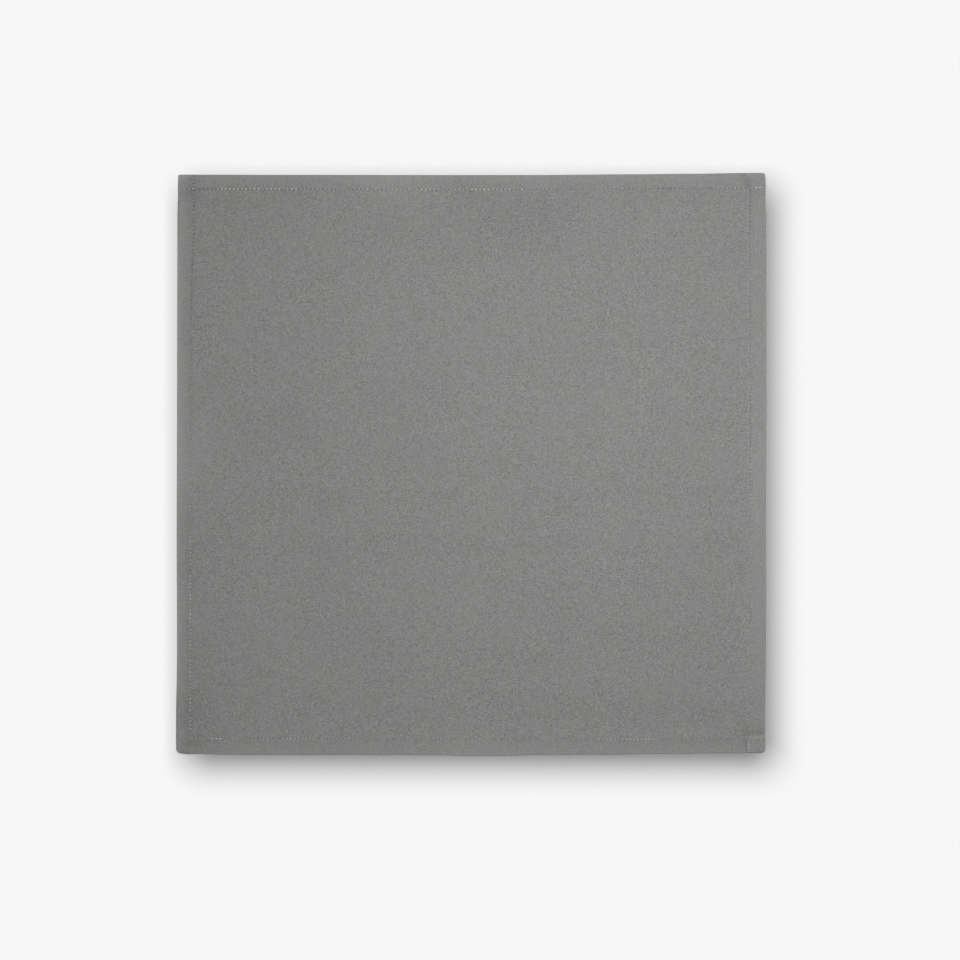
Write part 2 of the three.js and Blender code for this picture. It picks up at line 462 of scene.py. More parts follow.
def sides_near(cloth, x, y):
    """For the nearer side edge and the nearer end edge: the inset, the place along it, whether it is the
    first of the two sides that follow, and the tables of both."""
    from_side, from_end = insets(cloth, x, y)
    is_left, is_bottom = x < cloth.width / 2, y < cloth.length / 2
    return (
        (from_side, y, is_left, LEFT, RIGHT),
        (from_end, x, is_bottom, BOTTOM, TOP),
    )


def stack_height(cloth, x, y):
    """Height of all the layers over a point of the straight pattern, lying flat."""
    from_side, from_end = insets(cloth, x, y)
    corner_fall = by_corner(x < cloth.width / 2, y < cloth.length / 2, "fall")
    sides = stack_on(cloth, cloth.layer, from_side, fall_width(cloth, corner_fall, from_end))
    return stack_on(cloth, sides, from_end, fall_width(cloth, corner_fall, from_side))


def loft(cloth, x, y):
    """How full the layers lie: pressed in the corners, drawn down by the thread and puffed outside it."""
    full, drawn_down = 1.0, 0.0
    for seed, (inset, along, is_first, first, second) in enumerate(sides_near(cloth, x, y)):
        puff = np.where(is_first, first["puff"], second["puff"])
        uneven = 1 + FULLNESS["uneven"] * soft_noise(along, inset, FULLNESS["pitch"], seed)
        full = full + puff * uneven * np.sin(math.pi * np.clip(inset / cloth.seam, 0, 1))
        drawn_down = np.maximum(drawn_down, ridge(inset - cloth.seam, GROOVE["half_width"]))
    corner_fall = by_corner(x < cloth.width / 2, y < cloth.length / 2, "fall")
    in_corner = on_hem(np.maximum(*insets(cloth, x, y)), cloth.hem, corner_fall)
    return full - CORNER_PRESSED * in_corner - GROOVE["depth"] * drawn_down / stack_height(cloth, x, y)


def on_crease(crease, x, y):
    """1 on the line of a crease, rounding off to 0 beside it and at its ends."""
    start, end = (np.array(place, float) * MM for place in (crease.start, crease.end))
    length = np.hypot(*(end - start))
    along_x, along_y = (end - start) / length
    along = (x - start[0]) * along_x + (y - start[1]) * along_y
    across = (y - start[1]) * along_x - (x - start[0]) * along_y
    fade = min(CREASE_FADE, length / 4)
    return ease(along / fade) * ease((length - along) / fade) * ridge(across, crease.half_width * MM)


def painted_shading(cloth, x, y):
    """Painted light and shade on the cloth's hems, creases and patches: how much lighter it is painted,
    and how much darker, as painted shade, where it is below 0.
    """
    lighter = 0.0
    # Painted light and shade along each hem: on the crest of its fold, by its edge and at its seam
    for inset, _, is_first, first, second in sides_near(cloth, x, y):
        crest, edge, seam = (
            np.where(is_first, first["painted_shading"][line], second["painted_shading"][line]) for line in PAINTED_SHADING_LINES
        )
        amount = edge + (seam - edge) * np.clip(inset / cloth.seam, 0, 1)
        amount = amount * on_hem(inset, cloth.hem, PAINTED_SHADING_FALL) + crest * ridge(inset, CREST_WIDTH)
        lighter = np.where(np.abs(amount) > np.abs(lighter), amount, lighter)
    # Painted light on each crease's ridge, painted shade in its valley and along the corner lines
    for crease in CREASES_AND_PAINTED_LINES:
        lighter = lighter + crease.tone * on_crease(crease, x, y)
    # Patches of painted light and shade
    for patch in PAINTED_PATCHES:
        (middle_x, middle_y), (half_x, half_y) = patch.middle, patch.half
        away = ((x / MM - middle_x) / half_x) ** 2 + ((y / MM - middle_y) / half_y) ** 2
        lighter = lighter + patch.tone * np.exp(-(away**PATCH_FLATNESS))
    return lighter


def grain(cloth, x, y):
    """How strongly the yarns stand apart: less on the pressed hems, and uneven all over."""
    from_edge = np.minimum(*insets(cloth, x, y))
    pressed = 1 - CONTRAST["pressed"] * on_hem(from_edge, cloth.hem / 2, cloth.hem)
    return pressed * (1 + CONTRAST["uneven"] * soft_noise(x, y, CONTRAST["pitch"], CONTRAST["seed"]))


def lift(cloth, x, y):
    """How far the cloth stands off the table: low waves, puckers by the seams and storage creases."""
    from_side, from_end = insets(cloth, x, y)
    height = WAVES["height"] * (1 + soft_noise(x, y, WAVES["pitch"], WAVES["seed"]))
    height = height * ease(np.minimum(from_side, from_end) / WAVES["from_edge"])
    for inset, seed in zip((from_side, from_end), PUCKERS["seeds"]):
        beside = ridge(inset - cloth.seam - PUCKERS["off"], PUCKERS["half_width"])
        height = height + PUCKERS["height"] * beside * (1 + soft_noise(x, y, PUCKERS["pitch"], seed))
        height = height + PULLED_UP["height"] * ridge(inset - cloth.seam, PULLED_UP["half_width"])
    for crease in CREASES_AND_PAINTED_LINES:
        height = height + crease.rise * MM * on_crease(crease, x, y)
    return np.maximum(height, 0)


def top_surface(cloth, x, y):
    """Height of the face side over a point of the straight pattern."""
    return stack_height(cloth, x, y) * loft(cloth, x, y) + lift(cloth, x, y)


def hem_lines(cloth):
    """Grid lines of one hem from its raw edge inwards: the run that each is on and its place there."""
    edge_turn = np.linspace(0, math.pi, EDGE_FOLD_LINES + 1)[1:]
    inner_turn = np.linspace(0, math.pi, INNER_FOLD_LINES + 1)[1:]
    lines = [("tucked", share) for share in TUCKED_LINES]
    lines += [("inner fold", angle) for angle in inner_turn[::-1]]
    lines += [("back", place) for place in (cloth.hem, *(line * MM for line in BACK_LINES[::-1]))]
    lines += [("edge fold", angle) for angle in edge_turn[::-1]]
    lines += [("face", place) for place in (0, *(line * MM for line in FACE_LINES[::-1]))]
    return lines + [("field", line * MM) for line in FALL_LINES]


def turns(cloth, stack):
    """Radius of a hem's edge fold, round three layers of a stack, and of its inner fold, round two."""
    return (3 * stack + 2 * cloth.gap) / 2, (2 * stack + cloth.gap) / 2


def section(cloth, lines, stack, depth, fall):
    """Folds a stack of cloth into a double hem: each line's distance in from the edge and its height.
    depth is how far a point lies below the stack's face side, and fall is how wide the hem's slope is."""
    edge_turn, inner_turn = turns(cloth, stack)
    single_turn, _ = turns(cloth, cloth.layer)
    run = np.array([line[0] for line in lines])
    place = np.array([line[1] for line in lines], float)
    flat_end = cloth.hem - inner_turn
    on_face = (cloth.hem - edge_turn) / (cloth.hem - single_turn)
    face_inset = cloth.hem - np.minimum(cloth.hem - place, cloth.hem - single_turn) * on_face
    along_back = np.clip((place - single_turn) / (cloth.hem - single_turn), 0, 1)
    wide, tight = edge_turn - depth, inner_turn - depth
    runs = {
        "field": (place + 0 * wide, stack_on(cloth, stack, place, fall) - depth),
        "face": (face_inset, 2 * edge_turn - depth),
        "edge fold": (edge_turn - wide * np.sin(place), edge_turn + wide * np.cos(place)),
        "back": (edge_turn + (flat_end - edge_turn) * along_back, depth),
        "inner fold": (flat_end + tight * np.sin(place), inner_turn - tight * np.cos(place)),
        "tucked": (flat_end + (edge_turn + RAW_EDGE_GAP - flat_end) * place, 2 * inner_turn - depth),
    }
    is_on = [run == name for name in runs]
    insets_there, heights = zip(*runs.values())
    return np.select(is_on, insets_there), np.select(is_on, heights)


def cut_places(cloth, lines):
    """Where the lines lie on the cut cloth, measured from the edge fold: inwards is positive."""
    turn, tight = turns(cloth, cloth.layer)
    insets_now, _ = section(cloth, lines, cloth.layer, cloth.layer / 2, cloth.fall)
    after_edge = turn - math.pi * turn
    after_back = after_edge - (cloth.hem - tight - turn)
    after_inner = after_back - math.pi * tight
    places = []
    for (run, place), inset in zip(lines, insets_now):
        places.append({
            "field": inset,
            "face": inset,
            "edge fold": turn - place * turn,
            "back": after_edge - (inset - turn),
            "inner fold": after_back - place * tight,
            "tucked": after_inner - (cloth.hem - tight - inset),
        }[run])
    return np.array(places)


def across_cloth(cloth, span):
    """All grid lines across the cloth, as the hem's lines, the field's lines and the far hem's lines."""
    near = hem_lines(cloth)
    first = near[-1][1]
    cells = round((span - 2 * first) / FIELD_PITCH)
    field = [("field", place) for place in np.linspace(first, span / 2, cells // 2 + 1)[1:]]
    half = near + field
    is_far = np.array([False] * len(half) + [True] * (len(half) - 1))
    return half + half[-2::-1], is_far


def folded_grid(cloth, depth):
    """The whole cloth at one depth below its face side, hemmed on both sides and then on both ends."""
    columns, far_columns = across_cloth(cloth, cloth.width)
    rows, far_rows = across_cloth(cloth, cloth.length)
    from_side, rise = section(cloth, columns, cloth.layer, depth, cloth.fall)
    below_face = stack_on(cloth, cloth.layer, from_side, cloth.fall) - rise
    row_inset = np.array([place if run in ("face", "field") else 0.0 for run, place in rows])
    corner_fall = by_corner(~far_columns[:, None], ~far_rows[None, :], "fall")
    side_fall = fall_width(cloth, corner_fall, row_inset[None, :])
    stack = stack_on(cloth, cloth.layer, from_side[:, None], side_fall)
    end_fall = fall_width(cloth, corner_fall, from_side[:, None])
    from_end, height = section(cloth, rows, stack, below_face[:, None], end_fall)
    x = np.where(far_columns, cloth.width - from_side, from_side)[:, None] + 0 * from_end
    y = np.where(far_rows, cloth.length - from_end, from_end)
    plan_x, plan_y = in_plan(cloth, x, y)
    z = height * loft(cloth, x, y) + lift(cloth, x, y)
    cut_x, cut_y = cut_places(cloth, columns), cut_places(cloth, rows)
    u = np.where(far_columns, cloth.width - cut_x, cut_x)[:, None] + 0 * y
    v = np.where(far_rows, cloth.length - cut_y, cut_y)[None, :] + 0 * y
    return np.stack([plan_x, plan_y, z], -1), np.stack([u, v], -1), np.stack([x, y], -1)


def grid_faces(count_x, count_y):
    """Faces of a closed sheet: its face side, its back and the raw edge that joins them."""
    index = np.arange(count_x * count_y).reshape(count_x, count_y)
    under = index + count_x * count_y

    def quads(a, b, c, d):
        return np.stack([a, b, c, d], -1).reshape(-1, 4)

    return np.concatenate([
        quads(index[:-1, :-1], index[1:, :-1], index[1:, 1:], index[:-1, 1:]),
        quads(under[:-1, 1:], under[1:, 1:], under[1:, :-1], under[:-1, :-1]),
        quads(index[1:, 0], index[:-1, 0], under[:-1, 0], under[1:, 0]),
        quads(index[:-1, -1], index[1:, -1], under[1:, -1], under[:-1, -1]),
        quads(index[0, :-1], index[0, 1:], under[0, 1:], under[0, :-1]),
        quads(index[-1, 1:], index[-1, :-1], under[-1, :-1], under[-1, 1:]),
    ])


def add_mesh(name, points, faces, maps, tones, material):
    """A smooth mesh object with a UV map for each entry of maps and a number for each entry of tones,
    both given at each point."""
    mesh = bpy.data.meshes.new(name)
    mesh.from_pydata(points.reshape(-1, 3).tolist(), [], faces)
    corners = np.empty(len(mesh.loops), int)
    mesh.loops.foreach_get("vertex_index", corners)
    for map_name, values in maps.items():
        layer = mesh.uv_layers.new(name=map_name, do_init=False)
        layer.uv.foreach_set("vector", values.reshape(-1, 2)[corners].astype(np.float32).ravel())
    for tone_name, values in tones.items():
        tone = mesh.attributes.new(tone_name, "FLOAT", "POINT")
        tone.data.foreach_set("value", values.astype(np.float32).ravel())
    mesh.shade_smooth()
    mesh.materials.append(material)
    piece = bpy.data.objects.new(name, mesh)
    bpy.context.scene.collection.objects.link(piece)
    return piece


# Noises of the cloth and its thread: steps for each metre, or for each yarn, in their two directions, the
# layer that keeps each apart from the others, and its detail
NOISES = {
    "warp yarn": {"x": 3.731, "y": 430.0, "layer": 0.3, "detail": 1.0},
    "weft yarn": {"x": 340.0, "y": 3.393, "layer": 7.7, "detail": 1.0},
    "cloud": {"x": 85.0, "y": 190.0, "layer": 3.1, "detail": 2.0},
    "drift": {"x": 19.0, "y": 21.0, "layer": 5.9, "detail": 1.0},
    "tint": {"x": 100.0, "y": 100.0, "layer": 9.4, "detail": 1.0},
    "fuzz": {"x": 5200.0, "y": 4700.0, "layer": 1.7, "detail": 1.0},
    "fibre": {"x": 9000.0, "y": 5.0, "layer": 2.2, "detail": 2.0},
}


class Shading:
    """Builds one material's nodes, a line at a time."""

    def __init__(self, name):
        self.material = bpy.data.materials.new(name)
        self.material.use_nodes = True
        self.nodes = self.material.node_tree.nodes
        self.links = self.material.node_tree.links
        self.surface = self.nodes["Principled BSDF"]

    def add(self, kind, inputs=(), **settings):
        node = self.nodes.new(kind)
        for name, value in settings.items():
            setattr(node, name, value)
        for socket, value in dict(inputs).items():
            self.plug(node.inputs[socket], value)
        return node

    def plug(self, socket, value):
        if isinstance(value, bpy.types.NodeSocket):
            self.links.new(value, socket)
        else:
            socket.default_value = value

    def set_surface(self, values):
        for name, value in values.items():
            self.plug(self.surface.inputs[name], value)

    def math(self, operation, *values):
        node = self.add("ShaderNodeMath", enumerate(values), operation=operation)
        return node.outputs[0]

    def map(self, name):
        """The two places of a UV map, in metres."""
        source = self.add("ShaderNodeUVMap", uv_map=name)
        parts = self.add("ShaderNodeSeparateXYZ", {0: source.outputs[0]})
        return parts.outputs[0], parts.outputs[1]

    def tone(self, name):
        """A number that the mesh gives at each point."""
        return self.add("ShaderNodeAttribute", attribute_name=name).outputs["Fac"]

    def noise(self, x, y, name):
        """Cloudy noise from 0 to 1 over two places, as its row of the table of noises says."""
        row = NOISES[name]
        scaled_x, scaled_y = self.math("MULTIPLY", x, row["x"]), self.math("MULTIPLY", y, row["y"])
        place = self.add("ShaderNodeCombineXYZ", {0: scaled_x, 1: scaled_y, 2: row["layer"]}).outputs[0]
        noise = self.add("ShaderNodeTexNoise", {"Vector": place, "Scale": 1.0, "Detail": row["detail"]})
        return noise.outputs["Fac"]

    def between(self, low, high, value):
        """0 below low and 1 above high, eased; the other way round when low is the larger."""
        ramp = self.add(
            "ShaderNodeMapRange", {"Value": value, "From Min": low, "From Max": high},
            interpolation_type="SMOOTHSTEP",
        )
        return ramp.outputs[0]

    def blend(self, share, low, high):
        """A number between low and high."""
        return self.math("ADD", low, self.math("MULTIPLY", share, self.math("SUBTRACT", high, low)))

    def vary(self, value, source, middle, adds):
        """A number raised or lowered by how far a source is from its middle."""
        return self.math("MULTIPLY_ADD", self.math("SUBTRACT", source, middle), adds, value)

    def colour(self, share, low, high):
        """A colour between low and high."""
        mix = self.add("ShaderNodeMix", {"Factor": share}, data_type="RGBA")
        for socket, value in ((mix.inputs[6], low), (mix.inputs[7], high)):
            self.plug(socket, value if isinstance(value, bpy.types.NodeSocket) else (*value, 1))
        return mix.outputs[2]

    def bump(self, height, distance, strength):
        """The surface's normal, tilted by a height."""
        node = self.add("ShaderNodeBump", {"Height": height, "Distance": distance, "Strength": strength})
        return node.outputs[0]


# The cloth's tone, from 0 for dark yarns to 1 for light ones: its middle, what each source of unevenness
# adds as it departs from its own middle, and the faint tints of the dye
MIDDLE_TONE = 0.584
COTTON_TONES = {
    "yarn": {"middle": 0.5, "adds": 0.92},
    "fleck": {"middle": 0.5, "adds": 0.78},
    "cloud": {"middle": 0.5, "adds": 0.1},
    "drift": {"middle": 0.5, "adds": 0.08},
    "weave": {"middle": 0.55, "adds": 0.7},
}
WARM_TINT = (1.0, 1.012, 0.92)
COOL_TINT = (1.0, 0.988, 1.08)

# The cloth's fine relief and finish: how far a yarn sinks where it dives under the next, the height of the
# weave's bump, what light yarns, fuzz and needle holes add to it, and how dull the cotton is
YARN_DIP = 0.45
WEAVE_BUMP = 0.11 * MM
WEAVE_BUMP_STRENGTH = 0.9
BUMPS = {"yarn": 0.3, "fuzz": 0.22, "hole": -1.6}
COTTON_SURFACE = {"Specular IOR Level": 0.25, "Sheen Weight": 0.12, "Sheen Roughness": 0.6}
COTTON_ROUGHNESS = {"dark": 0.97, "adds": -0.12}


def cotton(cloth, thread):
    """Plain-woven grey cotton: yarns over and under each other, each a little lighter or darker."""
    s = Shading("grey_cotton")
    u, v = s.map("cut")
    warp, weft = s.math("DIVIDE", u, cloth.warp_pitch), s.math("DIVIDE", v, cloth.weft_pitch)
    warp_yarn, weft_yarn = s.math("FLOOR", warp), s.math("FLOOR", weft)
    warp_crown = s.math("SINE", s.math("MULTIPLY", s.math("FRACT", warp), math.pi))
    weft_crown = s.math("SINE", s.math("MULTIPLY", s.math("FRACT", weft), math.pi))
    warp_over = s.math("MULTIPLY", warp_crown, s.math("MULTIPLY_ADD", weft_crown, YARN_DIP, 1 - YARN_DIP))
    weft_over = s.math("MULTIPLY", weft_crown, s.math("MULTIPLY_ADD", warp_crown, YARN_DIP, 1 - YARN_DIP))
    is_weft_over = s.math("FLOORED_MODULO", s.math("ADD", warp_yarn, weft_yarn), 2.0)
    weave = s.blend(is_weft_over, warp_over, weft_over)

    yarn = s.blend(is_weft_over, s.noise(warp_yarn, v, "warp yarn"), s.noise(u, weft_yarn, "weft yarn"))
    crossing = s.add("ShaderNodeCombineXYZ", {0: warp_yarn, 1: weft_yarn}).outputs[0]
    fleck = s.add("ShaderNodeTexWhiteNoise", {"Vector": crossing}, noise_dimensions="2D").outputs[0]
    contrast = s.vary(s.vary(0.0, yarn, **COTTON_TONES["yarn"]), fleck, **COTTON_TONES["fleck"])
    share = s.math("MULTIPLY_ADD", contrast, s.tone("grain"), MIDDLE_TONE)
    share = s.vary(share, s.noise(u, v, "cloud"), **COTTON_TONES["cloud"])
    share = s.vary(share, s.noise(u, v, "drift"), **COTTON_TONES["drift"])
    share = s.vary(share, weave, **COTTON_TONES["weave"])
    # Painted light and shade from the mesh: lighter on hems, ridges and patches, darker in valleys and by
    # the corner squares
    share = s.math("ADD", share, s.tone("painted_shading"))

    # Painted shade of the needle holes, where the stitches' shadows fall
    holes = needle_hole_shade(s, cloth, thread)
    untinted = s.colour(share, cloth.dark_yarn, cloth.light_yarn)
    tint = s.colour(s.noise(u, v, "tint"), WARM_TINT, COOL_TINT)
    dyed = s.add("ShaderNodeMix", {0: 1.0, 6: untinted, 7: tint}, data_type="RGBA", blend_type="MULTIPLY")
    height = s.math("MULTIPLY_ADD", yarn, BUMPS["yarn"], weave)
    height = s.math("MULTIPLY_ADD", s.noise(u, v, "fuzz"), BUMPS["fuzz"], height)
    height = s.math("MULTIPLY_ADD", holes, BUMPS["hole"], height)
    s.set_surface(COTTON_SURFACE | {
        # Needle holes painted near black as shade
        "Base Color": s.colour(holes, dyed.outputs[2], cloth.hole),
        "Roughness": s.math("MULTIPLY_ADD", yarn, COTTON_ROUGHNESS["adds"], COTTON_ROUGHNESS["dark"]),
        "Normal": s.bump(height, WEAVE_BUMP, WEAVE_BUMP_STRENGTH),
    })
    return s.material


# How far inside the thread the needle holes are painted, on the side where the stitches' shadows fall, the
# radius of one that is wide open or closed, how much the pull of the thread lengthens it, how unevenly
# they open, and the soft rim as shares of the radius. The holes are painted near black as shade.
HOLE_SHIFT = 0.25 * MM
HOLE_RADIUS = 0.43 * MM
SMALLEST_HOLE = 0.001 * MM
HOLE_LENGTH = 1.35
HOLE_OPENS = {"least": 0.5, "varies": 0.8}
HOLE_RIM = {"outside": 1.3, "inside": 0.7}


def needle_hole_shade(s, cloth, thread):
    """Painted shade of the needle holes and the stitches' shadows along the four seams, from 0 to 1, with
    none on the cloth's own edge.
    """
    x, y = s.map("plan")
    middle_x, middle_y = cloth.width / 2, cloth.length / 2
    from_side = s.math("SUBTRACT", middle_x, s.math("ABSOLUTE", s.math("SUBTRACT", x, middle_x)))
    from_end = s.math("SUBTRACT", middle_y, s.math("ABSOLUTE", s.math("SUBTRACT", y, middle_y)))
    end_pitch = s.blend(s.math("GREATER_THAN", y, middle_y), thread.pitch, thread.top_pitch)

    def holes_on(inset, along, pitch, open_name):
        step = s.math("DIVIDE", along, pitch)
        number = s.math("ROUND", step)
        past = s.math("MULTIPLY", s.math("SUBTRACT", step, number), pitch)
        past = s.math("DIVIDE", past, HOLE_LENGTH)
        away = s.math("MULTIPLY", s.math("SUBTRACT", inset, cloth.seam + HOLE_SHIFT), HOLE_LENGTH)
        distance = s.math("MULTIPLY_ADD", past, past, s.math("MULTIPLY", away, away))
        distance = s.math("SQRT", distance)
        uneven = s.add("ShaderNodeTexWhiteNoise", {"W": number}, noise_dimensions="1D").outputs[0]
        uneven = s.math("MULTIPLY_ADD", uneven, HOLE_OPENS["varies"], HOLE_OPENS["least"])
        is_sewn = s.math("GREATER_THAN", number, 0.5)
        how_open = s.math("MULTIPLY", s.math("MULTIPLY", s.tone(open_name), is_sewn), uneven)
        radius = s.math("MULTIPLY", s.math("SQRT", how_open), HOLE_RADIUS)
        radius = s.math("MAXIMUM", radius, SMALLEST_HOLE)
        return s.between(HOLE_RIM["outside"], HOLE_RIM["inside"], s.math("DIVIDE", distance, radius))

    on_sides = holes_on(from_side, y, thread.pitch, "side_holes")
    on_ends = holes_on(from_end, x, end_pitch, "end_holes")
    return s.math("MAXIMUM", on_sides, on_ends)


# Where the left seam starts, and how far from the cloth's edge the longer seams end
LEFT_SEAM_START = 17 * MM
SEAM_END = 1.0 * MM


def seams(cloth, thread):
    """The four rows of stitching: their side and pitch, where they start and end, and the pattern's point
    for a place along them and a little off them."""
    far_x, far_y = cloth.width - cloth.seam, cloth.length - cloth.seam
    return (
        {"side": TOP, "pitch": thread.top_pitch, "start": SEAM_END, "end": cloth.width - SEAM_END,
         "point": lambda at, off: (at, far_y + off)},
        {"side": BOTTOM, "pitch": thread.pitch, "start": cloth.seam, "end": cloth.width - SEAM_END,
         "point": lambda at, off: (at, cloth.seam + off)},
        {"side": LEFT, "pitch": thread.pitch, "start": LEFT_SEAM_START, "end": cloth.length - SEAM_END,
         "point": lambda at, off: (cloth.seam + off, at)},
        {"side": RIGHT, "pitch": thread.pitch, "start": SEAM_END, "end": far_y,
         "point": lambda at, off: (far_x + off, at)},
    )


# The tube of a stitch: its rings and their sides, the share of the pitch between its ends and the needle
# holes, how thin its ends are and how soon they swell, and how flat the thread lies
STITCH_RINGS = 8
STITCH_SIDES = 6
OFF_HOLE = 0.07
THIN_END = 0.55
END_SHAPE = 0.5
FLATNESS = {"wide": 1.1, "high": 0.9}

# How uneven the stitches are: their slant, how much their painted light varies, how high they stand in
# the thread's radii, how full their arches are, how much of that the ones on the back have, and their
# height off the table
STITCH_SEED = 8
SLANT = 0.07 * MM
LIGHT_VARIES = 0.35
STANDS = {"least": 0.35, "when_light": 0.6, "varies": 0.1}
ARCH_SHAPE = 0.6
BACK_SLACK = 0.5
OFF_TABLE = 1.02

# How a stitch's painted shade deepens towards its ends: the share at each end that gets no darker, and how
# fast it does
LIGHT_ENDS = 0.04
LIGHT_SHAPE = 1.4


def stitch_lines(cloth, thread, seam, is_face, random):
    """Middle lines of one row's stitches on its face or its back, and the painted light on each along it.
    """
    first = math.ceil(seam["start"] / seam["pitch"])
    last = math.floor(seam["end"] / seam["pitch"])
    holes = np.arange(first, last) * seam["pitch"]
    count = len(holes)
    share = np.linspace(0, 1, STITCH_RINGS)[None, :]
    slant = random.normal(0, SLANT, (count, 2))
    along = holes[:, None] + seam["pitch"] * (OFF_HOLE + (1 - 2 * OFF_HOLE) * share)
    off = slant[:, :1] * (1 - share) + slant[:, 1:] * share
    x, y = seam["point"](along, off)
    # Painted light: how brightly each stitch catches the light
    light = read_table(seam["side"]["thread"], "light", holes)
    light = np.clip(light * random.normal(1, LIGHT_VARIES, count), 0, 1)
    radius = thread.thickness / 2
    stands = STANDS["least"] + STANDS["when_light"] * light + random.normal(0, STANDS["varies"], count)
    stands = radius * stands[:, None]
    arch = np.sin(math.pi * share) ** ARCH_SHAPE
    if is_face:
        z = top_surface(cloth, x, y) + arch * (stands + radius) - radius
    else:
        z = np.maximum(lift(cloth, x, y) - arch * stands * BACK_SLACK, radius * OFF_TABLE)
    # Painted shade towards each stitch's ends, where it dives into the cloth
    shows = light[:, None] * np.sin(math.pi * np.clip(share, LIGHT_ENDS, 1 - LIGHT_ENDS)) ** LIGHT_SHAPE
    return np.stack([*in_plan(cloth, x, y), z], -1), shows


def tubes_around(lines, radius):
    """Rings of points around lines, thinner at both ends."""
    tangent = np.gradient(lines, axis=1)
    tangent /= np.linalg.norm(tangent, axis=-1, keepdims=True)
    level = np.cross(tangent, (0, 0, 1))
    level /= np.linalg.norm(level, axis=-1, keepdims=True)
    upright = np.cross(level, tangent)
    share = np.linspace(0, 1, STITCH_RINGS)[None, :, None, None]
    swell = (THIN_END + (1 - THIN_END) * np.sin(math.pi * share) ** END_SHAPE) * radius
    angle = np.linspace(0, 2 * math.pi, STITCH_SIDES, endpoint=False)[None, None, :, None]
    ring = np.cos(angle) * level[:, :, None] * FLATNESS["wide"]
    ring = ring + np.sin(angle) * upright[:, :, None] * FLATNESS["high"]
    return lines[:, :, None] + ring * swell


def tube_faces(count):
    """Faces of the closed tubes of stitches: their walls and their two end caps."""
    index = np.arange(count * STITCH_RINGS * STITCH_SIDES).reshape(count, STITCH_RINGS, STITCH_SIDES)
    around = np.roll(index, -1, axis=2)
    walls = np.stack([index[:, :-1], index[:, 1:], around[:, 1:], around[:, :-1]], -1).reshape(-1, 4)
    first, last = index[:, 0].tolist(), index[:, -1, ::-1].tolist()
    return walls.tolist() + first + last


# The thread's twist in radians a metre, what its fibres and its twist add to its tone, and its finish
TWIST = 26000.0
THREAD_TONES = {"fibre": {"middle": 0.5, "adds": 0.3}, "twist": {"middle": 0.0, "adds": 0.06}}
THREAD_SURFACE = {"Specular IOR Level": 0.35, "Sheen Weight": 0.1}
THREAD_ROUGHNESS = {"smooth": 0.5, "adds": 0.25}
TWIST_BUMP = 0.03 * MM
TWIST_BUMP_STRENGTH = 0.6


def sewing_thread(thread):
    """Twisted cotton thread, painted lighter where a stitch stands up and catches the light and painted
    darker, as shade, where it sinks in.
    """
    s = Shading("hem_thread")
    along, around = s.map("thread")
    twist = s.math("SINE", s.math("MULTIPLY_ADD", along, TWIST, s.math("MULTIPLY", around, 2 * math.pi)))
    fibre = s.noise(along, around, "fibre")
    # Painted light and shade of each stitch, from the mesh
    share = s.vary(s.tone("light"), fibre, **THREAD_TONES["fibre"])
    share = s.vary(share, twist, **THREAD_TONES["twist"])
    s.set_surface(THREAD_SURFACE | {
        "Base Color": s.colour(share, thread.dark, thread.light),
        "Roughness": s.math("MULTIPLY_ADD", fibre, THREAD_ROUGHNESS["adds"], THREAD_ROUGHNESS["smooth"]),
        "Normal": s.bump(twist, TWIST_BUMP, TWIST_BUMP_STRENGTH),
    })
    return s.material


class NAPKIN_OT_cut_and_hem(bpy.types.Operator):
    """Cut the cloth and turn its double hems, the two sides first and then the two ends"""

    bl_idname = "napkin.cut_and_hem"
    bl_label = "Cut and Hem the Cloth"

    def execute(self, context):
        cloth = context.scene.napkin_cloth
        face, cut, plan = folded_grid(cloth, 0.0)
        back, _, back_plan = folded_grid(cloth, cloth.layer)
        both_plans = np.stack([plan, back_plan])
        x, y = both_plans[..., 0], both_plans[..., 1]
        side_holes, end_holes = (
            np.where(is_first, *(read_table(side["thread"], "hole", along) for side in (first, second)))
            for _, along, is_first, first, second in sides_near(cloth, x, y)
        )
        tones = {
            # Painted light and shade, as shares lighter
            "painted_shading": painted_shading(cloth, x, y),
            "grain": grain(cloth, x, y),
            "side_holes": side_holes,
            "end_holes": end_holes,
        }
        piece = add_mesh(
            "napkin_cloth", np.stack([face, back]), grid_faces(*face.shape[:2]).tolist(),
            {"cut": np.stack([cut, cut]), "plan": both_plans}, tones,
            cotton(cloth, context.scene.napkin_thread),
        )
        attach(piece, "root")
        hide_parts("napkin")
        return {"FINISHED"}


class NAPKIN_OT_stitch_hems(bpy.types.Operator):
    """Sew a row of lockstitch through each hem, needle thread above and bobbin thread below"""

    bl_idname = "napkin.stitch_hems"
    bl_label = "Stitch the Hems"

    def execute(self, context):
        cloth, thread = context.scene.napkin_cloth, context.scene.napkin_thread
        random = np.random.default_rng(STITCH_SEED)
        rows = [
            stitch_lines(cloth, thread, seam, is_face, random)
            for seam in seams(cloth, thread)
            for is_face in (True, False)
        ]
        lines, light = (np.concatenate(parts) for parts in zip(*rows))
        along = np.cumsum(np.full(light.shape, thread.pitch / STITCH_RINGS)).reshape(*light.shape, 1)
        around = np.linspace(0, 1, STITCH_SIDES)[None, None, :]
        stitching = add_mesh(
            "hem_stitching", tubes_around(lines, thread.thickness / 2), tube_faces(len(lines)),
            {"thread": np.stack(np.broadcast_arrays(along, around), -1)},
            # Painted light of the stitches
            {"light": np.repeat(light, STITCH_SIDES)}, sewing_thread(thread),
        )
        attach(stitching, "root")

        allowance = -cut_places(cloth, hem_lines(cloth)).min()
        return {"FINISHED"}


